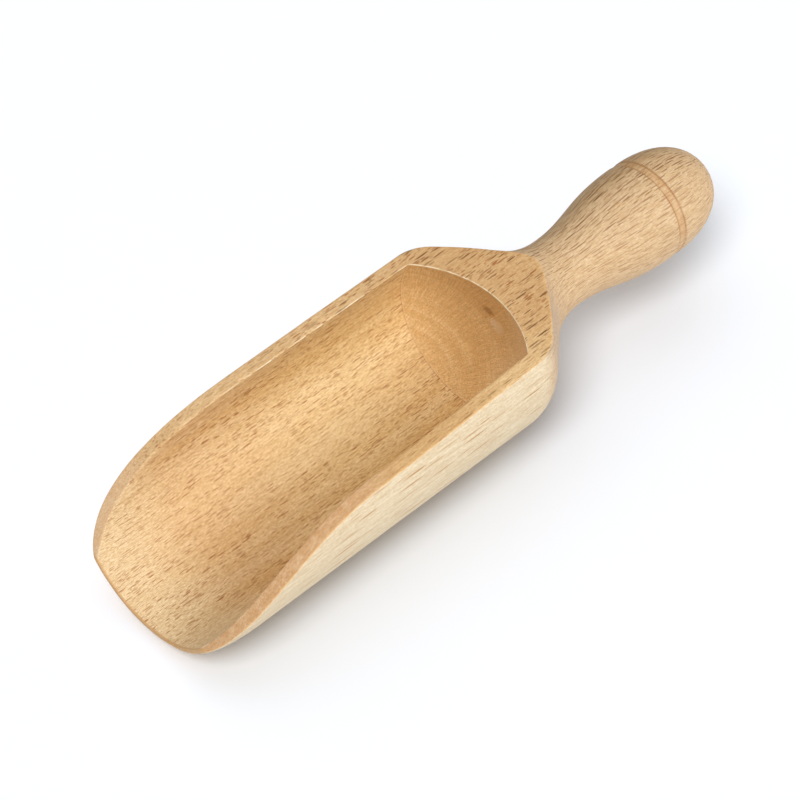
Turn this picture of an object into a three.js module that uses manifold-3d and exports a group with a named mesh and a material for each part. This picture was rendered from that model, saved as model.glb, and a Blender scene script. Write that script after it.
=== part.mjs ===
// Turned beech scoop: one billet, turned outside, bored from the front and cut open along a side profile.
// Millimetres, +Z up, +X towards the handle. The turning axis lies along X at a height of BODY_R.
import * as THREE from 'three';
import { mergeVertices } from 'three/addons/utils/BufferGeometryUtils.js';
import Module from 'manifold-3d';

// Driving dimensions. Stations are distances along the turning axis from the bottom of the bore wall.
const BODY_R = 30.0;          // turned outside radius of the bowl
const BORE_R = 25.9;          // bore radius
const LIP_X = -118.4;         // front end of the billet
const LIP_OUTER_R = 26.7;     // outside radius left at the front end
const LIP_ROUND_LENGTH = 16.0; // length of the rounding that thins the wall to the lip
const DOME_DEPTH = 10.5;      // shallow domed bottom of the bore
const PIP_R = 2.6;            // centre mark of the boring tool
const PIP_DEPTH = 1.0;
const RIM_HEIGHT = 11.9;      // rim plane above the axis at the bore bottom
const RIM_SLOPE = 0.039;      // the rim plane sinks this much per millimetre towards the lip
const FALL_X = -62.5;         // where the rim starts to fall in an arc
const FALL_END_Z = -16.5;     // height at which the arc reaches the front end, from the axis
const SHOULDER_X = 0.3;       // end of the straight outside of the bowl
const SHOULDER_ROUND_R = 14.0;
const SHOULDER_ANGLE = 42 * Math.PI / 180; // cone between shoulder rounding and neck cove
const NECK_X = 36.3;          // thinnest place
const NECK_R = 10.9;
const GRIP_X = 71.8;          // fullest place, where the groove starts
const GRIP_R = 15.5;
const GROOVE_WIDTH = 2.5;
const GROOVE_DEPTH = 0.35;
const END_X = 96.5;           // end of the handle

// Resolution of the faceted solid.
const SEGMENTS = 64;
const ARC_STEPS = 12;

const CENTRE_SHIFT = -(LIP_X + END_X) / 2;

// Quarter ellipse of the front rounding, from the lip back to the straight wall.
function frontRounding() {
  const points = [];
  const steps = 6;
  for (let i = 0; i <= steps; i += 1) {
    const a = (i / steps) * Math.PI / 2;
    const x = LIP_X + LIP_ROUND_LENGTH * (1 - Math.cos(a));
    const radius = LIP_OUTER_R + (BODY_R - LIP_OUTER_R) * Math.sin(a);
    points.push(new THREE.Vector2(radius, x));
  }
  return points;
}

// Shoulder: rounding, cone and cove, each tangent to the next, ending level at the neck.
function shoulder() {
  const points = [];
  const steps = 6;
  const roundEndX = SHOULDER_X + SHOULDER_ROUND_R * Math.sin(SHOULDER_ANGLE);
  const roundEndR = BODY_R - SHOULDER_ROUND_R * (1 - Math.cos(SHOULDER_ANGLE));
  for (let i = 0; i <= steps; i += 1) {
    const a = (i / steps) * SHOULDER_ANGLE;
    const x = SHOULDER_X + SHOULDER_ROUND_R * Math.sin(a);
    points.push(new THREE.Vector2(BODY_R - SHOULDER_ROUND_R * (1 - Math.cos(a)), x));
  }
  // The cove radius that touches both the cone and the neck.
  const run = NECK_X - roundEndX;
  const fall = roundEndR - NECK_R;
  const slope = Math.tan(SHOULDER_ANGLE);
  const coveR = (slope * run - fall) / (slope * Math.sin(SHOULDER_ANGLE) - (1 - Math.cos(SHOULDER_ANGLE)));
  for (let i = 0; i <= steps; i += 1) {
    const a = SHOULDER_ANGLE * (1 - i / steps);
    points.push(new THREE.Vector2(NECK_R + coveR * (1 - Math.cos(a)), NECK_X - coveR * Math.sin(a)));
  }
  return points;
}

// Handle: an ogee swelling from the neck, a shallow groove, then the rounded end.
function handle() {
  const swell = new THREE.CubicBezierCurve(
    new THREE.Vector2(NECK_R, NECK_X),
    new THREE.Vector2(NECK_R, NECK_X + 14),
    new THREE.Vector2(GRIP_R, GRIP_X - 18),
    new THREE.Vector2(GRIP_R, GRIP_X),
  );
  const endStart = GRIP_X + GROOVE_WIDTH;
  const cap = new THREE.CubicBezierCurve(
    new THREE.Vector2(GRIP_R, endStart),
    new THREE.Vector2(GRIP_R, endStart + 13.0),
    new THREE.Vector2(10.2, END_X),
    new THREE.Vector2(0, END_X),
  );
  const groove = [
    new THREE.Vector2(GRIP_R - GROOVE_DEPTH, GRIP_X + 0.35),
    new THREE.Vector2(GRIP_R - GROOVE_DEPTH, endStart - 0.35),
  ];
  return [...swell.getPoints(10).slice(1), ...groove, ...cap.getPoints(10)];
}

// Domed bottom of the bore as a spherical cap with a small centre mark.
function boreProfile() {
  const sphereR = (BORE_R * BORE_R + DOME_DEPTH * DOME_DEPTH) / (2 * DOME_DEPTH);
  const centreX = DOME_DEPTH - sphereR;
  const rimAngle = Math.asin(BORE_R / sphereR);
  const pipAngle = Math.asin(PIP_R / sphereR);
  const points = [new THREE.Vector2(0, LIP_X - 10), new THREE.Vector2(BORE_R, LIP_X - 10)];
  const steps = 8;
  for (let i = 0; i <= steps; i += 1) {
    const a = rimAngle + (pipAngle - rimAngle) * (i / steps);
    points.push(new THREE.Vector2(sphereR * Math.sin(a), centreX + sphereR * Math.cos(a)));
  }
  points.push(new THREE.Vector2(0, DOME_DEPTH + PIP_DEPTH));
  return points;
}

// Everything above the rim line and in front of the falling arc.
function openingProfile() {
  const top = BODY_R + 20;
  const startZ = RIM_HEIGHT + RIM_SLOPE * FALL_X;
  const slopeAngle = Math.atan(RIM_SLOPE);
  // Radius of the arc that leaves the rim line tangentially and ends at the lip.
  const run = FALL_X - LIP_X;
  const fall = startZ - FALL_END_Z;
  const across = fall * Math.cos(slopeAngle) - run * Math.sin(slopeAngle);
  const arcR = (run * run + fall * fall) / (2 * across);
  const centreX = FALL_X + arcR * Math.sin(slopeAngle);
  const centreZ = startZ - arcR * Math.cos(slopeAngle);
  const endAngle = Math.atan2(FALL_END_Z - centreZ, LIP_X - centreX);
  const startAngle = Math.PI / 2 + slopeAngle;
  const shape = new THREE.Shape();
  const backX = NECK_X + 12;
  shape.moveTo(backX, RIM_HEIGHT + RIM_SLOPE * backX);
  for (let i = 0; i <= ARC_STEPS; i += 1) {
    const a = startAngle + (endAngle - startAngle) * (i / ARC_STEPS);
    shape.lineTo(centreX + arcR * Math.cos(a), centreZ + arcR * Math.sin(a));
  }
  shape.lineTo(LIP_X - 12, FALL_END_Z - 16);
  shape.lineTo(LIP_X - 12, top);
  shape.lineTo(backX, top);
  shape.closePath();
  return shape;
}

const wasm = await Module();
wasm.setup();

function toManifold(geometry) {
  geometry.deleteAttribute('normal');
  geometry.deleteAttribute('uv');
  const merged = mergeVertices(geometry, 1e-4);
  const index = merged.index.array;
  const kept = [];
  for (let i = 0; i < index.length; i += 3) {
    const [a, b, c] = [index[i], index[i + 1], index[i + 2]];
    if (a !== b && b !== c && c !== a) {
      kept.push(a, b, c);
    }
  }
  const vertProperties = new Float32Array(merged.attributes.position.array);
  const triVerts = new Uint32Array(kept);
  return new wasm.Manifold(new wasm.Mesh({ numProp: 3, vertProperties, triVerts }));
}

function toGeometry(solid) {
  const mesh = solid.getMesh();
  const geometry = new THREE.BufferGeometry();
  const positions = new Float32Array(mesh.numVert * 3);
  for (let i = 0; i < mesh.numVert; i += 1) {
    for (let axis = 0; axis < 3; axis += 1) {
      positions[3 * i + axis] = mesh.vertProperties[mesh.numProp * i + axis];
    }
  }
  geometry.setAttribute('position', new THREE.BufferAttribute(positions, 3));
  geometry.setIndex(new THREE.BufferAttribute(new Uint32Array(mesh.triVerts), 1));
  geometry.computeVertexNormals();
  return geometry;
}

// A lathe about Y, laid over so that the turning axis runs along X.
function turned(points) {
  const geometry = new THREE.LatheGeometry(points, SEGMENTS);
  geometry.rotateZ(-Math.PI / 2);
  return toManifold(geometry);
}

const outside = turned([
  new THREE.Vector2(0, LIP_X),
  ...frontRounding(),
  ...shoulder(),
  ...handle(),
]);
const bore = turned(boreProfile());
const cutGeometry = new THREE.ExtrudeGeometry(openingProfile(), { depth: 4 * BODY_R, bevelEnabled: false });
cutGeometry.rotateX(Math.PI / 2);
cutGeometry.translate(0, 2 * BODY_R, 0);
const cut = toManifold(cutGeometry);

const scoopGeometry = toGeometry(outside.subtract(bore).subtract(cut));
scoopGeometry.translate(CENTRE_SHIFT, 0, BODY_R);

const beech = new THREE.MeshStandardMaterial({ color: 0xdcb483, roughness: 0.62, metalness: 0.0 });
const scoop = new THREE.Mesh(scoopGeometry, beech);
scoop.name = 'scoop';

const part = new THREE.Group();
part.name = 'beech_scoop';
part.add(scoop);

export default part;
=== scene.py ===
import math

import bmesh
import bpy
import numpy as np
from mathutils import Matrix, Vector, noise


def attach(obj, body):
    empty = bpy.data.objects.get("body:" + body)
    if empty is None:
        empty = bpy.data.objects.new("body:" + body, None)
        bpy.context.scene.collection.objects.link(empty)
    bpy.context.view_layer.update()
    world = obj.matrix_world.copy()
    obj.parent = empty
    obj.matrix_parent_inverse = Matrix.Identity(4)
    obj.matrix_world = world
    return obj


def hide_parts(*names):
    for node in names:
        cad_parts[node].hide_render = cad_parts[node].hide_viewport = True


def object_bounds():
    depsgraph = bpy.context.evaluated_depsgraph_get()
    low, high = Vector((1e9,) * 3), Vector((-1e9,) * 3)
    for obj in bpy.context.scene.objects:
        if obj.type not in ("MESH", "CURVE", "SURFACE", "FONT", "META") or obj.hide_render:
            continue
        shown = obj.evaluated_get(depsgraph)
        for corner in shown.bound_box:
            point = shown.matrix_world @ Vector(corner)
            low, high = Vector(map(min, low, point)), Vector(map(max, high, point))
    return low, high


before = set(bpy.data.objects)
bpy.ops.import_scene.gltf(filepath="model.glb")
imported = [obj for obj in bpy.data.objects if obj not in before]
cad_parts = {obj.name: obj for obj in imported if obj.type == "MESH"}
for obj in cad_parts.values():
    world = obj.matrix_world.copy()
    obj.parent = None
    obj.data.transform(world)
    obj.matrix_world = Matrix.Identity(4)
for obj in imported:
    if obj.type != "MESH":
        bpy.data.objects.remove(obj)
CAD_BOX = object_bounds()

# ---------------------------------------------------------------------------
# The turned billet, in millimetres. x runs along the turning axis from the
# bottom of the bore wall, y to the left, z up from the axis.
# ---------------------------------------------------------------------------
BODY_R = 30.0
BORE_R = 25.9
LIP_X = -118.4
LIP_OUTER_R = 26.7
LIP_ROUND_LENGTH = 16.0
DOME_DEPTH = 10.5
PIP_R = 2.6
PIP_DEPTH = 1.0
RIM_HEIGHT = 11.9
RIM_SLOPE = 0.039
FALL_X = -62.5
FALL_END_Z = -16.5
SHOULDER_X = 0.3
SHOULDER_ROUND_R = 14.0
SHOULDER_ANGLE = math.radians(42.0)
NECK_X = 36.3
NECK_R = 10.9
GRIP_X = 71.8
GRIP_R = 15.5
GROOVE_WIDTH = 2.5
GROOVE_LINE_DEPTH = 0.30              # the two fine lines that edge the groove
GROOVE_LINE_WIDTH = 0.28
GROOVE_BAND_DEPTH = 0.16              # the shallow band between them
END_X = 96.5
CAP_PULL = 13.0                       # how far the rounded end keeps the width of the grip
CAP_END_R = 10.2                      # how blunt it is
SWELL_START = 14.0                    # pulls of the curve that swells from the neck to the grip
SWELL_END = 18.0

MM = 0.001
LOW, HIGH = CAD_BOX
AXIS_Z = HIGH[1]                      # the billet rests on its round back
SHIFT_X = LOW[0] - LIP_X * MM         # the lip starts at the low end of the box

SPHERE_R = (BORE_R ** 2 + DOME_DEPTH ** 2) / (2 * DOME_DEPTH)
SPHERE_X = DOME_DEPTH - SPHERE_R

# The pith of the log, seen along the axis, and the radius at which angles become lengths.
PITH_Y = 31.0
PITH_Z = -42.0
PITH_SCALE = 45.0


def bezier(p0, p1, p2, p3, count):
    t = np.linspace(0.0, 1.0, count)[:, None]
    p0, p1, p2, p3 = (np.array(p, float) for p in (p0, p1, p2, p3))
    start = (1 - t) ** 3 * p0 + 3 * t * (1 - t) ** 2 * p1
    return start + 3 * t ** 2 * (1 - t) * p2 + t ** 3 * p3


def outer_profile():
    """(x, radius) along the outside, from the lip to the end of the handle."""
    a = np.linspace(0.0, math.pi / 2, 60)
    front = np.stack([
        LIP_X + LIP_ROUND_LENGTH * (1 - np.cos(a)),
        LIP_OUTER_R + (BODY_R - LIP_OUTER_R) * np.sin(a),
    ], 1)
    a = np.linspace(0.0, SHOULDER_ANGLE, 30)
    rounding = np.stack([
        SHOULDER_X + SHOULDER_ROUND_R * np.sin(a),
        BODY_R - SHOULDER_ROUND_R * (1 - np.cos(a)),
    ], 1)
    run = NECK_X - rounding[-1, 0]
    fall = rounding[-1, 1] - NECK_R
    slope = math.tan(SHOULDER_ANGLE)
    # the radius of the cove that touches both the cone and the neck
    cove_r = (slope * run - fall) / (slope * math.sin(SHOULDER_ANGLE) - (1 - math.cos(SHOULDER_ANGLE)))
    a = np.linspace(SHOULDER_ANGLE, 0.0, 40)
    cove = np.stack([NECK_X - cove_r * np.sin(a), NECK_R + cove_r * (1 - np.cos(a))], 1)
    swell = bezier(
        (NECK_X, NECK_R), (NECK_X + SWELL_START, NECK_R),
        (GRIP_X - SWELL_END, GRIP_R), (GRIP_X, GRIP_R), 80,
    )
    cap_x = GRIP_X + GROOVE_WIDTH
    cap = bezier((cap_x, GRIP_R), (cap_x + CAP_PULL, GRIP_R), (END_X, CAP_END_R), (END_X, 0.0), 160)
    return np.concatenate([front, rounding, cove, swell[1:], cap])


PROFILE = outer_profile()


def outer_radius(x):
    return np.interp(x, PROFILE[:, 0], PROFILE[:, 1])


# The flat cut that opens the bowl, and the arc in which it falls to the lip.
SLOPE_ANGLE = math.atan(RIM_SLOPE)
START_Z = RIM_HEIGHT + RIM_SLOPE * FALL_X
RUN = FALL_X - LIP_X
FALL = START_Z - FALL_END_Z
ARC_R = (RUN ** 2 + FALL ** 2) / (2 * (FALL * math.cos(SLOPE_ANGLE) - RUN * math.sin(SLOPE_ANGLE)))
ARC_X = FALL_X + ARC_R * math.sin(SLOPE_ANGLE)
ARC_Z = START_Z - ARC_R * math.cos(SLOPE_ANGLE)


def rim_plane(x):
    """Height above the axis of the flat part of the cut."""
    return RIM_HEIGHT + RIM_SLOPE * x


def cut_height(x):
    x = np.asarray(x, float)
    arc = ARC_Z + np.sqrt(np.maximum(ARC_R ** 2 - (x - ARC_X) ** 2, 0.0))
    return np.where(x < FALL_X, arc, rim_plane(x))


# ---------------------------------------------------------------------------
# Structured patches with sharp edges. Rows crowd towards every edge, so that
# the easing further down has vertices to work with.
# ---------------------------------------------------------------------------
CROWD = np.array([0.0, 0.1, 0.22, 0.36, 0.54, 0.8, 1.2])
ARC_COLUMNS = 84       # columns over the round of the bowl, between the crowded ones
TOP_COLUMNS = 110      # columns over the cut behind the bowl
BOWL_STATIONS = 150    # rows along the bowl, between the crowded ones
STRIP_MIDDLE = 4       # rows across the middle of the cut strip
DOME_ROWS = 26
PIP_ROWS = 12
SHOULDER_ROWS = 24
COMMON_X = 31.0        # from here back the rows stand square to the axis
POLE_R = 0.02          # the last row at the handle's end, before it is closed
CROWD_ROOM = 1.7       # a strip narrower than twice this gets its crowded rows closer together


def crowded(length, middle):
    """Distances from 0 to length: crowded at both ends, even in the middle."""
    ends = CROWD * min(1.0, length / 2 / CROWD_ROOM)
    inner = np.linspace(ends[-1], length - ends[-1], middle + 2)[1:-1]
    return np.concatenate([ends, inner, length - ends[::-1]])


def crowded_start(length, rest):
    """Distances from 0 to length, crowded at the start only."""
    ends = CROWD * min(1.0, length / 2 / CROWD_ROOM)
    return np.concatenate([ends, np.linspace(ends[-1], length, rest + 1)[1:]])


vertices = []
faces = []


def add_grid(grid, closed=False):
    """Adds a rows × columns × 3 grid of points and its quads."""
    rows, columns, _ = grid.shape
    base = sum(len(v) for v in vertices)
    vertices.append(grid.reshape(-1, 3))
    last = columns if closed else columns - 1
    for i in range(rows - 1):
        for j in range(last):
            k = (j + 1) % columns
            faces.append((
                base + i * columns + j, base + i * columns + k,
                base + (i + 1) * columns + k, base + (i + 1) * columns + j,
            ))


def on_circle(x, radius, angle):
    """A point on the circle about the axis; the angle is 0 at the bottom."""
    x, radius, angle = np.broadcast_arrays(x, radius, angle)
    return np.stack([x, radius * np.sin(angle), -radius * np.cos(angle)], -1)


def section(x):
    """The outline of the bowl across the axis at x: outer arc, left strip, inner arc, right strip."""
    h = float(cut_height(x))
    out_r = float(outer_radius(x))
    out_end = math.acos(-h / out_r)
    in_end = math.acos(-h / BORE_R)
    out_angle = crowded(2 * out_end * out_r, ARC_COLUMNS) / out_r - out_end
    in_angle = crowded(2 * in_end * BORE_R, ARC_COLUMNS) / BORE_R - in_end
    out_y = out_r * math.sin(out_end)
    in_y = BORE_R * math.sin(in_end)
    strip = crowded(out_y - in_y, STRIP_MIDDLE)
    right = np.stack([np.full_like(strip, x), -in_y - strip, np.full_like(strip, h)], 1)
    left = right * (1, -1, 1)
    outer = on_circle(x, out_r, out_angle)
    inner = on_circle(x, BORE_R, in_angle)
    return outer, left[::-1], inner, right


near_lip = LIP_X + CROWD
stations = np.concatenate([
    near_lip,
    np.linspace(near_lip[-1], -CROWD[-1], BOWL_STATIONS)[1:],
    -CROWD[:-1][::-1],
])
outers, lefts, inners, rights = (np.array(part) for part in zip(*(section(x) for x in stations)))
add_grid(outers)
add_grid(lefts)
add_grid(inners[:, ::-1])
add_grid(rights)


def strip_between(outer, inner):
    """Rows across the strip from an outer to an inner edge, crowded at both."""
    ladder = []
    for start, end in zip(outer, inner):
        wide = crowded(float(np.linalg.norm(start - end)), STRIP_MIDDLE)
        t = (wide / wide[-1])[:, None]
        ladder.append(start * (1 - t) + end * t)
    return np.stack(ladder, 1)


# Front face of the lip.
columns = outers.shape[1]
lip_face = strip_between(outers[0], inners[0])
lip_face[:, 0] = rights[0][::-1]
lip_face[:, -1] = lefts[0]
add_grid(lip_face)


def last_place(holds, low, high):
    """The place between low and high up to which holds(place) is true."""
    for _ in range(60):
        mid = (low + high) / 2
        if holds(mid):
            low = mid
        else:
            high = mid
    return (low + high) / 2


def shoulder_cut(angle):
    """x at which the meridian of the outside at this angle leaves the cut plane."""
    up = -math.cos(angle)
    return last_place(lambda x: float(outer_radius(x)) * up > rim_plane(x), 0.0, NECK_X)


def dome_x(radius):
    return SPHERE_X + np.sqrt(SPHERE_R ** 2 - radius ** 2)


def dome_cut(angle):
    """Radius at which the meridian of the dome at this angle leaves the cut plane."""
    up = -math.cos(angle)
    return last_place(lambda r: r * up <= rim_plane(float(dome_x(r))), 0.0, BORE_R)


# Boundary loops behind the bowl, from the left rim over the top to the right rim.
out_start = math.acos(-RIM_HEIGHT / BODY_R)
in_start = math.acos(-RIM_HEIGHT / BORE_R)
over_top = np.linspace(0.0, 1.0, TOP_COLUMNS + 1)
out_top = out_start + (2 * math.pi - 2 * out_start) * over_top
in_top = in_start + (2 * math.pi - 2 * in_start) * over_top
out_top_x = np.array([0.0] + [shoulder_cut(a) for a in out_top[1:-1]] + [0.0])
out_top_r = np.array([BODY_R] + [float(outer_radius(x)) for x in out_top_x[1:-1]] + [BODY_R])
in_top_r = np.array([BORE_R] + [dome_cut(a) for a in in_top[1:-1]] + [BORE_R])
outer_edge = on_circle(out_top_x, out_top_r, out_top)
inner_edge = on_circle(dome_x(in_top_r), in_top_r, in_top)

web = strip_between(outer_edge, inner_edge)
web[:, 0] = lefts[-1]
web[:, -1] = rights[-1][::-1]
add_grid(web[::-1])

# Dome: meridians from its boundary to the centre mark.
dome_angle = np.concatenate([np.arctan2(inners[-1, :, 1], -inners[-1, :, 2]), in_top[1:-1]])
dome_edge_r = np.concatenate([np.full(columns, BORE_R), in_top_r[1:-1]])
edge_rows = crowded_start(BORE_R - PIP_R, DOME_ROWS)
fractions = edge_rows / edge_rows[-1]
dome_rows = []
for k, f in enumerate(fractions):
    if k < len(CROWD):
        r = dome_edge_r - edge_rows[k]
    else:
        g = (f - fractions[len(CROWD) - 1]) / (1 - fractions[len(CROWD) - 1])
        r = (dome_edge_r - CROWD[-1]) * (1 - g) + PIP_R * g
    dome_rows.append(on_circle(dome_x(r), r, dome_angle))
for r in PIP_R * np.append(np.linspace(0.92, 0.12, PIP_ROWS - 1), 0.01):
    dome_rows.append(on_circle(dome_x(np.full(len(dome_angle), r)), r, dome_angle))
add_grid(np.array(dome_rows)[:, ::-1], closed=True)

# Outside behind the bowl: meridians from the boundary to the end of the handle.
back_angle = np.concatenate([np.arctan2(outers[-1, :, 1], -outers[-1, :, 2]), out_top[1:-1]])
back_start = np.concatenate([np.zeros(columns), out_top_x[1:-1]])
BACK_CROWD = CROWD * 0.8
back_rows = [on_circle(back_start + d, outer_radius(back_start + d), back_angle) for d in BACK_CROWD]
for k in range(SHOULDER_ROWS):
    g = (k + 1) / SHOULDER_ROWS
    x = (back_start + BACK_CROWD[-1]) * (1 - g) + COMMON_X * g
    back_rows.append(on_circle(x, outer_radius(x), back_angle))
groove_x = GRIP_X + GROOVE_WIDTH / 2
fixed = np.concatenate([
    np.linspace(COMMON_X, GRIP_X - 1.2, 40)[1:],
    np.linspace(GRIP_X - 1.0, GRIP_X + GROOVE_WIDTH + 1.0, 31),      # fine rows for the groove
])
cap_profile = PROFILE[PROFILE[:, 0] > GRIP_X + GROOVE_WIDTH + 1.1][::4]
handle_x = np.concatenate([fixed, cap_profile[:-1, 0]])
handle_r = np.concatenate([outer_radius(fixed), cap_profile[:-1, 1]])
for x, r in zip(handle_x, handle_r):
    back_rows.append(on_circle(x, r, back_angle))
back_rows.append(on_circle(END_X, POLE_R, back_angle))
add_grid(np.array(back_rows), closed=True)


# ---------------------------------------------------------------------------
# One closed mesh, its edges eased as sandpaper leaves them.
# ---------------------------------------------------------------------------
FAR = 9.0              # stands for any distance too great to matter
CREASE_ROUND = 0.35    # rounding where the bore meets its dome
LIP_ROUND = 0.3
OUTER_ROUND = 0.55     # rounding of the outer rim edge, and how much it varies
OUTER_VARIES = 0.25
INNER_ROUND = 0.50     # the same for the inner rim edge
INNER_VARIES = 0.24
TEAR_ROUND = 1.6       # rounding that a tear of depth 1 adds
EASED_WITHIN = 2.0     # only vertices this near an edge move
EASE_ROUNDS = 5
MOST_MOVE = 0.3        # furthest that a vertex moves in one round
STEP = 0.01            # step over which a gradient is measured
ON_SURFACE = 0.02      # a vertex this near a surface lies on it
WELD = 0.004           # vertices this near each other are one


def soft_min(a, b, k):
    h = np.clip(0.5 + 0.5 * (b - a) / k, 0.0, 1.0)
    return b * (1 - h) + a * h - k * h * (1 - h)


def wander(points, scale, seed):
    """Smooth noise between -1 and 1, of the given wavelength in millimetres."""
    offset = Vector((13.7 * seed, 5.1 * seed, 9.3 * seed))
    return np.array([noise.noise(Vector(p) / scale + offset) for p in points])


def outside_depth(p):
    x = p[:, 0]
    r = np.hypot(p[:, 1], p[:, 2])
    step = 0.02
    slope = (outer_radius(x + step) - outer_radius(x - step)) / (2 * step)
    plain = (outer_radius(x) - r) / np.sqrt(1 + slope ** 2)
    # the rounding to the lip is steep, so there the depth follows the ellipse
    u = (x - LIP_X - LIP_ROUND_LENGTH) / LIP_ROUND_LENGTH
    v = np.maximum(r - LIP_OUTER_R, 0.0) / (BODY_R - LIP_OUTER_R)
    value = 1 - u ** 2 - v ** 2
    steep = np.hypot(2 * u / LIP_ROUND_LENGTH, 2 * v / (BODY_R - LIP_OUTER_R))
    front = value / np.maximum(steep, 1e-6)
    return np.where(u < -0.02, front, np.where(x > END_X - 8, FAR, plain))


def bore_depth(p):
    r = np.hypot(p[:, 1], p[:, 2])
    to_sphere = SPHERE_R - np.sqrt((p[:, 0] - SPHERE_X) ** 2 + r ** 2)
    to_sphere = np.where(p[:, 0] < -20, FAR, to_sphere)
    return -soft_min(BORE_R - r, to_sphere, CREASE_ROUND)


def cut_depth(p):
    x, z = p[:, 0], p[:, 2]
    flat = (rim_plane(x) - z) * math.cos(SLOPE_ANGLE)
    arc = ARC_R - np.hypot(x - ARC_X, z - ARC_Z)
    return np.where(x < FALL_X, arc, flat)


def cut_or_lip(p):
    """Distance to the sawn surfaces: the cut and the front face of the lip."""
    return np.minimum(np.abs(cut_depth(p)), np.abs(p[:, 0] - LIP_X))


def eased(p, outer_k, inner_k):
    value = soft_min(cut_depth(p), p[:, 0] - LIP_X, LIP_ROUND)
    value = soft_min(value, outside_depth(p), outer_k)
    return soft_min(value, bore_depth(p), inner_k)


points = np.concatenate(vertices)
mesh = bpy.data.meshes.new("scoop_wood")
mesh.from_pydata([tuple(p) for p in points], [], faces)
bm = bmesh.new()
bm.from_mesh(mesh)
bmesh.ops.remove_doubles(bm, verts=bm.verts, dist=WELD)
bmesh.ops.dissolve_degenerate(bm, edges=bm.edges, dist=0.0005)
# close the two small poles
holes = [e for e in bm.edges if len(e.link_faces) == 1]
bmesh.ops.holes_fill(bm, edges=holes)
bmesh.ops.recalc_face_normals(bm, faces=bm.faces)
bm.to_mesh(mesh)
bm.free()

sharp = np.array([tuple(v.co) for v in mesh.vertices], float)
radius = np.hypot(sharp[:, 1], sharp[:, 2])
d_out = np.abs(outside_depth(sharp))
d_bore = np.abs(bore_depth(sharp))
d_cut = cut_or_lip(sharp)
outer_k = OUTER_ROUND + OUTER_VARIES * wander(sharp, 9.0, 1)
inner_k = INNER_ROUND + INNER_VARIES * wander(sharp, 5.0, 2)
# On the left rim the cutter tore the inner edge in a few places: each tear starts abruptly
# and runs out. Start, length and depth of each.
TEARS = (
    (-84.0, 9.0, 0.9), (-72.0, 7.0, 0.5), (-62.0, 8.0, 1.1),
    (-50.0, 6.0, 0.4), (-38.5, 4.5, 1.0), (-32.0, 6.5, 1.2),
)
torn = np.zeros(len(sharp))
for start, run_out, tear_depth in TEARS:
    t = (sharp[:, 0] - start) / run_out
    shape = tear_depth * np.clip(1 - t, 0, None) ** 1.5
    torn = np.maximum(torn, np.where((t >= 0) & (t <= 1), shape, 0.0))
torn *= np.clip(sharp[:, 1] / 4 - 3, 0, 1)
inner_k += TEAR_ROUND * torn
placed = sharp.copy()
near = (d_cut < EASED_WITHIN) & (np.minimum(d_out, d_bore) < EASED_WITHIN) & (sharp[:, 0] < 45)
for _ in range(EASE_ROUNDS):
    p = placed[near]
    ko, ki = outer_k[near], inner_k[near]
    value = eased(p, ko, ki)
    gradient = np.zeros_like(p)
    for axis in range(3):
        step = np.zeros(3)
        step[axis] = STEP
        gradient[:, axis] = (eased(p + step, ko, ki) - eased(p - step, ko, ki)) / (2 * STEP)
    steepness = np.maximum((gradient ** 2).sum(1), 0.2)
    move = value / steepness
    placed[near] -= np.clip(move, -MOST_MOVE, MOST_MOVE)[:, None] * gradient

# Turned details: the groove round the grip and the centre mark in the dome.
across_groove = np.abs(sharp[:, 0] - groove_x)
on_handle = (sharp[:, 0] > 60) & (radius > 8)
line = np.exp(-((across_groove - GROOVE_WIDTH / 2) / GROOVE_LINE_WIDTH) ** 2)
band = np.clip((GROOVE_WIDTH / 2 - across_groove) / 0.3, 0, 1)
depth = np.where(on_handle, GROOVE_LINE_DEPTH * line + GROOVE_BAND_DEPTH * band, 0.0)
scale = 1 - depth / np.maximum(radius, 1e-6)
placed[:, 1] *= scale
placed[:, 2] *= scale
in_pip = (np.abs(sharp[:, 0] - DOME_DEPTH + 0.25) < 0.75) & (radius < PIP_R * 1.2)
pip = np.clip(1 - radius[in_pip] / PIP_R, 0, 1)
placed[in_pip, 0] += PIP_DEPTH * pip * pip * (3 - 2 * pip)

# Regions of the surface, for the material.
is_dome = (d_bore < ON_SURFACE) & (sharp[:, 0] > 0.01)
is_bore = (d_bore < ON_SURFACE) & (sharp[:, 0] <= 0.01)
on_cut = np.abs(cut_depth(sharp)) < ON_SURFACE
bore_weight = np.where(is_bore & ~on_cut, 1.0, 0.0)
dome_weight = np.where(is_dome & ~on_cut, 1.0, 0.0)
cut_weight = np.where(on_cut, 1.0, 0.0)
inner_edge_distance = np.hypot(bore_depth(placed), cut_or_lip(placed))
outer_edge_distance = np.hypot(outside_depth(placed), cut_or_lip(placed))
inner_edge_distance = np.where(sharp[:, 0] > 14, FAR, inner_edge_distance)
outer_edge_distance = np.where(sharp[:, 0] > 40, FAR, outer_edge_distance)

final = placed * MM + np.array([SHIFT_X, 0.0, AXIS_Z])
mesh.vertices.foreach_set("co", final.astype(np.float32).ravel())
mesh.update()
mesh.polygons.foreach_set("use_smooth", [True] * len(mesh.polygons))


def attribute(name, values):
    layer = mesh.attributes.new(name, "FLOAT", "POINT")
    layer.data.foreach_set("value", np.asarray(values, np.float32))


attribute("torn", torn)
crease = np.hypot(placed[:, 0] * 1.3, np.hypot(placed[:, 1], placed[:, 2]) - BORE_R)
near_crease = (d_bore < ON_SURFACE) & (sharp[:, 0] < 3)
attribute("crease", np.where(near_crease, np.clip(crease, 0, FAR), FAR))
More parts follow.
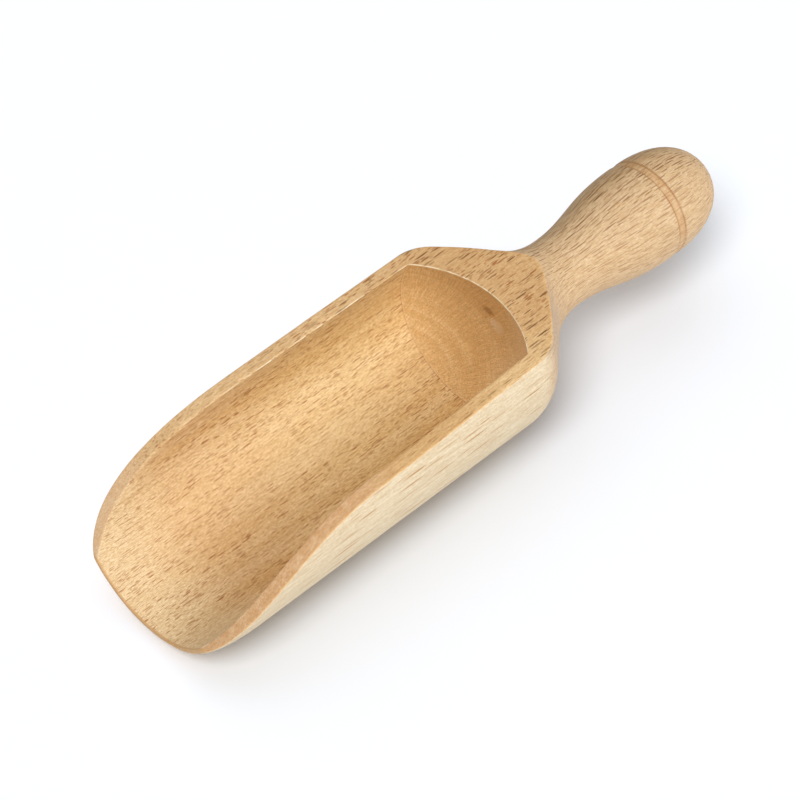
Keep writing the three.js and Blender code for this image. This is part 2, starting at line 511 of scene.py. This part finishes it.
# The cutter tore the rim where it left the wood: round the dome and on the left.
left_wear = np.clip(0.5 + 2.2 * wander(sharp, 11.0, 5), 0.0, 1.0)
left_wear *= np.clip((sharp[:, 0] - LIP_X - 45) / 8, 0, 1)
side_wear = np.where(sharp[:, 1] > 0, left_wear, 0.12)
side_or_lip_wear = np.where(sharp[:, 0] < LIP_X + 2, 0.45, side_wear)
attribute("wear", np.where(sharp[:, 0] > 0.3, 1.0, side_or_lip_wear))
attribute("bore", bore_weight)
attribute("dome", dome_weight)
attribute("cut", cut_weight)
attribute("edge_in", np.clip(inner_edge_distance, 0, FAR))
attribute("edge_out", np.clip(outer_edge_distance, 0, FAR))
attribute("groove", np.where(on_handle, line, 0.0))
attribute("band", np.where(on_handle, band, 0.0))

scoop = bpy.data.objects.new("scoop_wood", mesh)
bpy.context.scene.collection.objects.link(scoop)


# ---------------------------------------------------------------------------
# Beech, as a solid pattern in millimetres. Growth layers are cylinders about
# the pith, which lay below and to the left of the billet. Rays stand across
# them, as thin short blades.
# ---------------------------------------------------------------------------
material = bpy.data.materials.new("beech")
material.use_nodes = True
tree = material.node_tree
tree.nodes.clear()


def put(value, socket):
    if isinstance(value, bpy.types.NodeSocket):
        tree.links.new(value, socket)
    elif value is not None:
        if isinstance(value, tuple) and len(value) == 3 and len(socket.default_value) == 4:
            value = (*value, 1.0)
        socket.default_value = value


def calc(operation, a, b=None, c=None, clamp=False):
    node = tree.nodes.new("ShaderNodeMath")
    node.operation = operation
    node.use_clamp = clamp
    for value, socket in zip((a, b, c), node.inputs):
        put(value, socket)
    return node.outputs[0]


def add(a, b):
    return calc("ADD", a, b)


def sub(a, b, clamp=False):
    return calc("SUBTRACT", a, b, clamp=clamp)


def mul(a, *others):
    for other in others:
        a = calc("MULTIPLY", a, other)
    return a


def vector(operation, a, b):
    node = tree.nodes.new("ShaderNodeVectorMath")
    node.operation = operation
    put(a, node.inputs[0])
    put(b, node.inputs[1])
    return node.outputs[0]


def combine(x, y, z):
    node = tree.nodes.new("ShaderNodeCombineXYZ")
    for value, socket in zip((x, y, z), node.inputs):
        put(value, socket)
    return node.outputs[0]


def mix(factor, a, b, blend="MIX"):
    node = tree.nodes.new("ShaderNodeMix")
    node.data_type = "RGBA"
    node.blend_type = blend
    put(factor, node.inputs["Factor"])
    put(a, node.inputs[6])
    put(b, node.inputs[7])
    return node.outputs[2]


def ramp(value, low, high, out_low=0.0, out_high=1.0):
    node = tree.nodes.new("ShaderNodeMapRange")
    node.interpolation_type = "SMOOTHSTEP"
    names = ("Value", "From Min", "From Max", "To Min", "To Max")
    for v, name in zip((value, low, high, out_low, out_high), names):
        put(v, node.inputs[name])
    return node.outputs[0]


def cloud(where, detail=2.0, roughness=0.5, offset=0.0):
    node = tree.nodes.new("ShaderNodeTexNoise")
    node.inputs["Scale"].default_value = 1.0
    node.inputs["Detail"].default_value = detail
    node.inputs["Roughness"].default_value = roughness
    put(vector("ADD", where, (offset, offset * 0.7, offset * 1.3)), node.inputs["Vector"])
    return node.outputs[0]


def attr(name):
    node = tree.nodes.new("ShaderNodeAttribute")
    node.attribute_name = name
    return node.outputs["Fac"]


coordinates = tree.nodes.new("ShaderNodeTexCoord").outputs["Object"]
place = vector("SUBTRACT", coordinates, (SHIFT_X, 0.0, AXIS_Z))
place = vector("MULTIPLY", place, (1 / MM, 1 / MM, 1 / MM))
# The grain wanders a little off the straight line.
bend = mul(sub(cloud(vector("DIVIDE", place, (80, 26, 26)), 1.0), 0.5), 2.6)
place = vector("ADD", place, combine(0.0, bend, mul(bend, -0.7)))
parts = tree.nodes.new("ShaderNodeSeparateXYZ")
put(place, parts.inputs[0])
px, py, pz = parts.outputs
from_pith_y, from_pith_z = sub(py, PITH_Y), sub(pz, PITH_Z)
ring = calc("SQRT", add(mul(from_pith_y, from_pith_y), mul(from_pith_z, from_pith_z)))
around = mul(calc("ARCTAN2", from_pith_y, from_pith_z), PITH_SCALE)
grain = combine(px, around, ring)


def along(x, tangential, radial):
    """The place in the log divided by a wavelength on each of its own directions."""
    return vector("DIVIDE", grain, (x, tangential, radial))


def length_of(a):
    node = tree.nodes.new("ShaderNodeVectorMath")
    node.operation = "LENGTH"
    put(a, node.inputs[0])
    return node.outputs["Value"]


def spindles(base, cell, half, offset, edge=0.6, faintest=0.3):
    """Thin spindles along the grain, one to each cell (mm): 1 inside, times a strength of its own."""
    where = vector("ADD", vector("DIVIDE", base, cell), (offset, offset * 1.7, offset * 0.6))
    node = tree.nodes.new("ShaderNodeTexVoronoi")
    node.inputs["Scale"].default_value = 1.0
    node.inputs["Randomness"].default_value = 1.0
    put(where, node.inputs["Vector"])
    away = vector("SUBTRACT", where, node.outputs["Position"])
    away = vector("MULTIPLY", away, tuple(c / h for c, h in zip(cell, half)))
    own = tree.nodes.new("ShaderNodeSeparateColor")
    put(node.outputs["Color"], own.inputs[0])
    inside = ramp(calc("DIVIDE", length_of(away), add(mul(own.outputs[0], 0.8), 0.6)), 1.0, edge)
    return mul(inside, add(mul(own.outputs[1], 1.0 - faintest), faintest))


def tint(colour, factors):
    return mix(1.0, colour, factors, "MULTIPLY")


# On the handle the flecks follow the turned surface, elsewhere they lie in the solid.
skin = combine(px, mul(calc("ARCTAN2", py, pz), GRIP_R * 0.9), 0.0)
small = spindles(grain, (2.5, 0.70, 0.50), (0.95, 0.15, 0.17), 3.0, 0.65, 0.4)
medium = spindles(grain, (3.9, 1.05, 0.75), (1.70, 0.19, 0.22), 17.0, 0.65, 0.5)
large = spindles(grain, (5.0, 1.00, 0.70), (2.60, 0.19, 0.22), 29.0, 0.65, 0.55)
long_marks = spindles(skin, (5.2, 1.20, 1.0), (2.50, 0.19, 1.6), 41.0, 0.65, 0.55)
short_marks = spindles(skin, (3.0, 0.90, 1.0), (1.20, 0.14, 1.6), 47.0, 0.65, 0.3)
streaks = spindles(grain, (12.0, 1.3, 1.0), (5.5, 0.20, 0.34), 31.0, 0.3, 0.4)

bore, dome, cut = attr("bore"), attr("dome"), attr("cut")
outside = sub(sub(1.0, add(bore, dome)), cut, clamp=True)
handle = ramp(px, 14.0, 30.0)
shoulder = mul(outside, ramp(px, 0.0, 10.0), sub(1.0, handle))
# Painted sheen: the outside turns paler towards its -Y side, where the key light falls; the wood there is
# partly paler too.
sheen_pale_side = mul(outside, ramp(py, -6.0, -22.0), sub(1.0, ramp(px, 0.0, 12.0)))
handle_out = mul(outside, handle)

# Colours of the wood between the flecks. The pale colour of the outside's -Y side also holds a painted
# sheen, and the dark colour of the grip's +Y side is painted shade.
LIGHT = (0.80, 0.555, 0.30)
WARM = (0.72, 0.455, 0.205)
PALE_SHEEN = (0.75, 0.64, 0.455)
DEEP = (0.56, 0.325, 0.135)
SAWN = (0.66, 0.41, 0.19)
GRIP = (0.68, 0.50, 0.31)
GREY = (0.56, 0.43, 0.31)
# Painted shade of the handle's +Y side.
GRIP_SHADE = (0.50, 0.34, 0.17)
LIP_END = (0.82, 0.635, 0.385)
CROSSED_LEFT = (0.78, 0.515, 0.295)
CROSSED_RIGHT = (0.67, 0.395, 0.195)
CROSSED_TORN = (0.84, 0.62, 0.39)
# Flecks and streaks.
FLECK = (0.36, 0.13, 0.035)
DARK = (0.20, 0.085, 0.025)
STREAK = (0.46, 0.22, 0.07)
# End grain in the dome, with painted light on its -Y side, and the painted shade and painted highlight of
# the centre mark.
END_WARM = (0.80, 0.525, 0.235)
END_LIGHT = (0.88, 0.62, 0.31)
END_ORANGE = (0.80, 0.40, 0.13)
END_ARC = (0.92, 0.74, 0.46)
END_LIT = (0.95, 0.745, 0.48)
PIP_SHADE = (0.34, 0.15, 0.05)
PIP_HIGHLIGHT = (0.95, 0.80, 0.58)
# Edges, lip and groove.
FRAYED = (0.98, 0.86, 0.62)
CREASE = (0.94, 0.79, 0.54)
# Pale torn fibres, with a painted highlight on each tear.
TORN_FIBRE_HIGHLIGHT = (0.96, 0.84, 0.60)
RUBBED_LIP = (0.60, 0.33, 0.13)
RUBBED_EDGE = (0.80, 0.48, 0.20)
GROOVE_LINE = (0.36, 0.165, 0.055)
GROOVE_BAND = (0.56, 0.30, 0.12)

broad = cloud(along(130, 16, 9), 2.0, 0.5, 4.0)
bands = cloud(along(220, 14, 1.5), 2.0, 0.6, 9.0)
colour = mix(ramp(broad, 0.34, 0.66), LIGHT, WARM)
colour = mix(ramp(bands, 0.48, 0.75, 0.0, 0.22), colour, DEEP)
colour = mix(mul(cut, ramp(px, -30.0, 14.0, 0.25, 0.9)), colour, SAWN)
# Where the cut falls to the lip it crosses the fibres: pinker, with pale torn patches.
left = ramp(py, -2.0, 2.0)
across_fibres = add(mul(left, ramp(px, -90.0, -104.0)), mul(sub(1.0, left), ramp(px, -50.0, -68.0)))
across_fibres = mul(across_fibres, cut)
patch = ramp(cloud(vector("DIVIDE", place, (5.0, 2.5, 1.5)), 2.0, 0.6, 61.0), 0.44, 0.66)
crossed = mix(left, CROSSED_RIGHT, CROSSED_LEFT)
crossed = mix(mul(patch, 0.40), crossed, CROSSED_TORN)
right_rim = mul(cut, ramp(py, -16.0, -22.0))
colour = mix(mul(right_rim, ramp(px, -30.0, -5.0)), colour, tint(colour, (1.10, 1.18, 1.24)))
colour = mix(mul(right_rim, ramp(px, -5.0, -30.0)), colour, tint(colour, (0.93, 0.88, 0.78)))
colour = mix(mul(across_fibres, 0.9), colour, crossed)
colour = mix(mul(bore, ramp(px, -95.0, -25.0)), colour, tint(colour, (1.06, 1.16, 1.17)))
colour = mix(mul(bore, ramp(px, -84.0, -112.0, 0.0, 0.75)), colour, LIP_END)
# Painted sheen of the key light on the outside's -Y side, over slightly paler wood.
colour = mix(mul(sheen_pale_side, 0.9), colour, PALE_SHEEN)
# Painted shade: the handle turns darker towards its +Y side, which faces away from the key light.
colour = mix(mul(handle_out, 0.75), colour, mix(ramp(py, 0.0, 9.0), GRIP, GRIP_SHADE))
colour = mix(mul(shoulder, 0.9), colour, GREY)

# Fine light and dark fibres between the flecks.
fibre = cloud(along(0.95, 0.24, 0.24), 1.0, 0.6, 2.0)
strands = cloud(along(9.0, 0.55, 0.55), 2.0, 0.6, 12.0)
calm = sub(sub(1.0, mul(sheen_pale_side, 0.5)), mul(handle_out, 0.45))
calm = sub(sub(calm, mul(cut, 0.35)), mul(shoulder, 0.4))
fibre_tone = add(mul(sub(ramp(fibre, 0.34, 0.66), 0.5), calm), 0.5)
colour = mix(fibre_tone, tint(colour, (0.84, 0.77, 0.66)), tint(colour, (1.08, 1.11, 1.17)))
colour = mix(ramp(strands, 0.30, 0.70), tint(colour, (0.93, 0.89, 0.84)), tint(colour, (1.04, 1.06, 1.08)))

# Ray flecks: small everywhere inside, long and dark on the sawn web and the handle.
patches = ramp(cloud(along(45, 10, 10), 2.0, 0.5, 21.0), 0.34, 0.60, 0.5, 1.0)
low_side = ramp(py, -4.0, -20.0, 1.0, 0.5)
not_end = sub(sub(1.0, mul(dome, 0.85)), mul(across_fibres, 0.85))
turned = mul(handle_out, ramp(px, 92.0, 86.0))
in_solid = sub(1.0, turned)
small_amount = mul(small, patches, low_side, not_end, sub(1.0, mul(sheen_pale_side, 0.8)), in_solid)
medium_amount = mul(medium, patches, low_side, not_end, sub(1.0, mul(sheen_pale_side, 0.75)), in_solid)
large_amount = mul(large, add(mul(cut, ramp(px, -60.0, 0.0, 0.35, 1.0)), handle_out), not_end, in_solid)
far_side = ramp(py, 4.0, -12.0, 1.0, 0.55)
turned_amount = mul(turned, far_side)
colour = mix(small_amount, colour, FLECK)
colour = mix(medium_amount, colour, FLECK)
colour = mix(mul(short_marks, turned_amount, 0.7), colour, FLECK)
colour = mix(mul(long_marks, turned_amount), colour, mix(far_side, FLECK, DARK))
colour = mix(large_amount, colour, DARK)
colour = mix(mul(streaks, sheen_pale_side, 0.95), colour, STREAK)

# End grain in the dome: growth layers show as arcs, rays stand across them.
layers = cloud(along(600, 40, 2.3), 2.0, 0.6, 5.0)
dust = cloud(vector("DIVIDE", place, (0.6, 0.35, 0.35)), 1.0, 0.6, 33.0)
speckle = cloud(along(600, 1.0, 0.7), 2.0, 0.6, 8.0)
end_colour = mix(ramp(layers, 0.35, 0.68), END_WARM, END_LIGHT)
end_colour = mix(ramp(speckle, 0.46, 0.72, 0.0, 0.5), end_colour, END_ORANGE)
rays = cloud(along(600, 0.35, 5.0), 2.0, 0.6, 7.0)
between_rays, on_rays = tint(end_colour, (0.87, 0.84, 0.79)), tint(end_colour, (1.10, 1.12, 1.14))
end_colour = mix(ramp(rays, 0.32, 0.72), between_rays, on_rays)
broken = ramp(cloud(along(600, 3.0, 2.0), 2.0, 0.6, 14.0), 0.34, 0.58)
for ring_radius, amount in ((31.2, 0.20), (33.4, 0.10), (36.0, 0.16)):
    line_amount = mul(ramp(calc("ABSOLUTE", sub(ring, ring_radius)), 0.55, 0.1, 0.0, amount), broken)
    end_colour = mix(line_amount, end_colour, END_ARC)
# Painted light: the dome turns paler towards its -Y side, which the bore wall shades from the key light.
end_colour = mix(ramp(py, 0.0, -17.0, 0.0, 0.75), end_colour, END_LIT)
dusty, clean = tint(end_colour, (0.86, 0.82, 0.74)), tint(end_colour, (1.09, 1.12, 1.18))
end_colour = mix(ramp(dust, 0.34, 0.66), dusty, clean)
colour = mix(mul(dome, 0.93), colour, end_colour)
# The centre mark gets painted shade on its upper side and a painted highlight below.
across_axis = combine(0.0, py, pz)
pip_shade_offset = vector("MULTIPLY", vector("SUBTRACT", across_axis, (0.0, 1.2, 2.6)), (1.0, 1.0, 1.2))
colour = mix(mul(dome, ramp(length_of(pip_shade_offset), 2.6, 0.6), 0.62), colour, PIP_SHADE)
pip_highlight_distance = length_of(vector("SUBTRACT", across_axis, (0.0, -2.0, -1.6)))
colour = mix(mul(dome, ramp(pip_highlight_distance, 3.4, 0.8), 0.45), colour, PIP_HIGHLIGHT)

# Worn edges show pale fibres; the lip and the outer edges are rubbed to a warmer tone.
edge_cloud = cloud(vector("DIVIDE", place, (2.2, 1.4, 1.4)), 2.0, 0.6, 40.0)
wear = mul(ramp(attr("edge_in"), 0.42, 0.14), attr("wear"), ramp(edge_cloud, 0.36, 0.50, 0.35, 1.0))
colour = mix(mul(wear, 0.92), colour, FRAYED)
crease_line = mul(ramp(attr("crease"), 0.62, 0.22), ramp(edge_cloud, 0.30, 0.55, 0.5, 1.0))
colour = mix(mul(crease_line, 0.8), colour, CREASE)
# At each tear, pale torn fibres and a painted highlight.
tear_and_highlight = mul(ramp(attr("torn"), 0.2, 0.8), ramp(attr("edge_in"), 0.75, 0.3), ramp(edge_cloud, 0.36, 0.5))
colour = mix(mul(tear_and_highlight, 0.8), colour, TORN_FIBRE_HIGHLIGHT)
lip = ramp(px, LIP_X + 0.9, LIP_X + 0.35)
colour = mix(mul(lip, 0.75), colour, RUBBED_LIP)
outer_wear = mul(ramp(attr("edge_out"), 0.5, 0.15), ramp(edge_cloud, 0.34, 0.56, 0.2, 1.0), 0.5)
colour = mix(outer_wear, colour, RUBBED_EDGE)
groove_cloud = cloud(vector("DIVIDE", place, (1.5, 5.0, 5.0)), 2.0, 0.6, 52.0)
groove_dirt = ramp(groove_cloud, 0.3, 0.6, 0.55, 1.0)
# The groove's dark lines are drawn stronger towards the top of the handle: painted shade, as on its upper
# side.
groove_line_and_shade = mul(attr("groove"), ramp(pz, -14.0, 12.0, 0.35, 0.85), groove_dirt)
colour = mix(groove_line_and_shade, colour, GROOVE_LINE)
colour = mix(mul(attr("band"), ramp(groove_cloud, 0.3, 0.6, 0.15, 0.5)), colour, GROOVE_BAND)

shader = tree.nodes.new("ShaderNodeBsdfPrincipled")
output = tree.nodes.new("ShaderNodeOutputMaterial")
tree.links.new(shader.outputs[0], output.inputs[0])
put(colour, shader.inputs["Base Color"])
pores = add(add(small_amount, medium_amount), add(large_amount, mul(long_marks, turned_amount)))
put(add(ramp(fibre, 0.2, 0.8, 0.54, 0.68), mul(pores, 0.10)), shader.inputs["Roughness"])
shader.inputs["IOR"].default_value = 1.45
shader.inputs["Specular IOR Level"].default_value = 0.35
bump = tree.nodes.new("ShaderNodeBump")
bump.inputs["Strength"].default_value = 0.25
bump.inputs["Distance"].default_value = 0.00006
put(sub(mul(fibre, 0.7), mul(pores, 0.8)), bump.inputs["Height"])
put(bump.outputs[0], shader.inputs["Normal"])
mesh.materials.append(material)

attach(scoop, "root")
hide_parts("scoop")

# ---------------------------------------------------------------------------
# Floor, light and camera.
# ---------------------------------------------------------------------------
FLOOR_HALF = 4.0
FLOOR_WHITE = 0.90     # share of red light that the floor gives back
floor_mesh = bpy.data.meshes.new("floor")
corners = [(x * FLOOR_HALF, y * FLOOR_HALF, 0) for x, y in ((-1, -1), (1, -1), (1, 1), (-1, 1))]
floor_mesh.from_pydata(corners, [], [(0, 1, 2, 3)])
floor = bpy.data.objects.new("floor", floor_mesh)
bpy.context.scene.collection.objects.link(floor)
paper = bpy.data.materials.new("paper")
paper.use_nodes = True
paper_shader = paper.node_tree.nodes["Principled BSDF"]
paper_shader.inputs["Base Color"].default_value = (FLOOR_WHITE, 0.93, 0.98, 1.0)
paper_shader.inputs["Roughness"].default_value = 0.9
paper_shader.inputs["Specular IOR Level"].default_value = 0.1
floor_mesh.materials.append(paper)

WORLD_LIGHT = 0.36
LAMP_DISTANCE = 1.5
world = bpy.data.worlds.new("studio")
bpy.context.scene.world = world
world.use_nodes = True
background = world.node_tree.nodes["Background"]
background.inputs["Color"].default_value = (1.0, 1.0, 1.0, 1.0)
# The room gives a dim even light; behind the floor it shows as plain white.
seen = world.node_tree.nodes.new("ShaderNodeLightPath").outputs["Is Camera Ray"]
room = world.node_tree.nodes.new("ShaderNodeMapRange")
room.inputs["To Min"].default_value = WORLD_LIGHT
room.inputs["To Max"].default_value = 1.0
world.node_tree.links.new(seen, room.inputs["Value"])
world.node_tree.links.new(room.outputs[0], background.inputs["Strength"])


def towards(azimuth, elevation):
    """Unit vector to a place seen from the object; azimuth 0 is the -Y side."""
    a, e = math.radians(azimuth), math.radians(elevation)
    return Vector((math.sin(a) * math.cos(e), -math.cos(a) * math.cos(e), math.sin(e)))


def lamp_for(lit, light, azimuth, elevation):
    """Places a light that shines on one object only; everything still casts its shadow."""
    lamp = bpy.data.objects.new(light.name, light)
    direction = towards(azimuth, elevation)
    lamp.location = direction * LAMP_DISTANCE + Vector((0.0, 0.0, AXIS_Z))
    lamp.rotation_euler = direction.to_track_quat("Z", "Y").to_euler()
    bpy.context.scene.collection.objects.link(lamp)
    receivers = bpy.data.collections.new(light.name)
    receivers.objects.link(lit)
    lamp.light_linking.receiver_collection = receivers


def softbox(name, azimuth, elevation, width, power):
    light = bpy.data.lights.new(name, "AREA")
    light.shape = "DISK"
    light.size = width
    light.energy = power
    lamp_for(scoop, light, azimuth, elevation)


def floor_glow(name, azimuth, elevation, spread, share):
    """Even light on the floor that adds this share of white; spread is how wide the light looks."""
    light = bpy.data.lights.new(name, "SUN")
    light.angle = math.radians(spread)
    light.energy = share * math.pi / (FLOOR_WHITE * math.sin(math.radians(elevation)))
    lamp_for(floor, light, azimuth, elevation)


softbox("key", azimuth=2.0, elevation=43.0, width=0.8, power=13.0)
softbox("high", azimuth=-45.0, elevation=70.0, width=0.8, power=7.8)
floor_glow("floor_near", azimuth=-63.0, elevation=55.5, spread=28.0, share=0.47)
floor_glow("floor_wide", azimuth=170.0, elevation=60.0, spread=70.0, share=0.20)

AZIMUTH, ELEVATION, ROLL = -46.11, 48.36, 2.22
DISTANCE = 0.875
TARGET = Vector((-0.01851, -0.00405, 0.0300))
camera_data = bpy.data.cameras.new("camera")
camera_data.lens = 144.3
camera_data.sensor_width = 36.0
camera_data.clip_start = 0.05
camera_data.clip_end = 30.0
camera = bpy.data.objects.new("camera", camera_data)
back = towards(AZIMUTH, ELEVATION)
right = Vector((math.cos(math.radians(AZIMUTH)), math.sin(math.radians(AZIMUTH)), 0.0))
up = back.cross(right)
cos_roll, sin_roll = math.cos(math.radians(ROLL)), math.sin(math.radians(ROLL))
right, up = right * cos_roll + up * sin_roll, up * cos_roll - right * sin_roll
place_camera = Matrix((right, up, back)).transposed().to_4x4()
place_camera.translation = TARGET + back * DISTANCE
camera.matrix_world = place_camera
bpy.context.scene.collection.objects.link(camera)
bpy.context.scene.camera = camera
bpy.context.scene.view_settings.view_transform = "Standard"
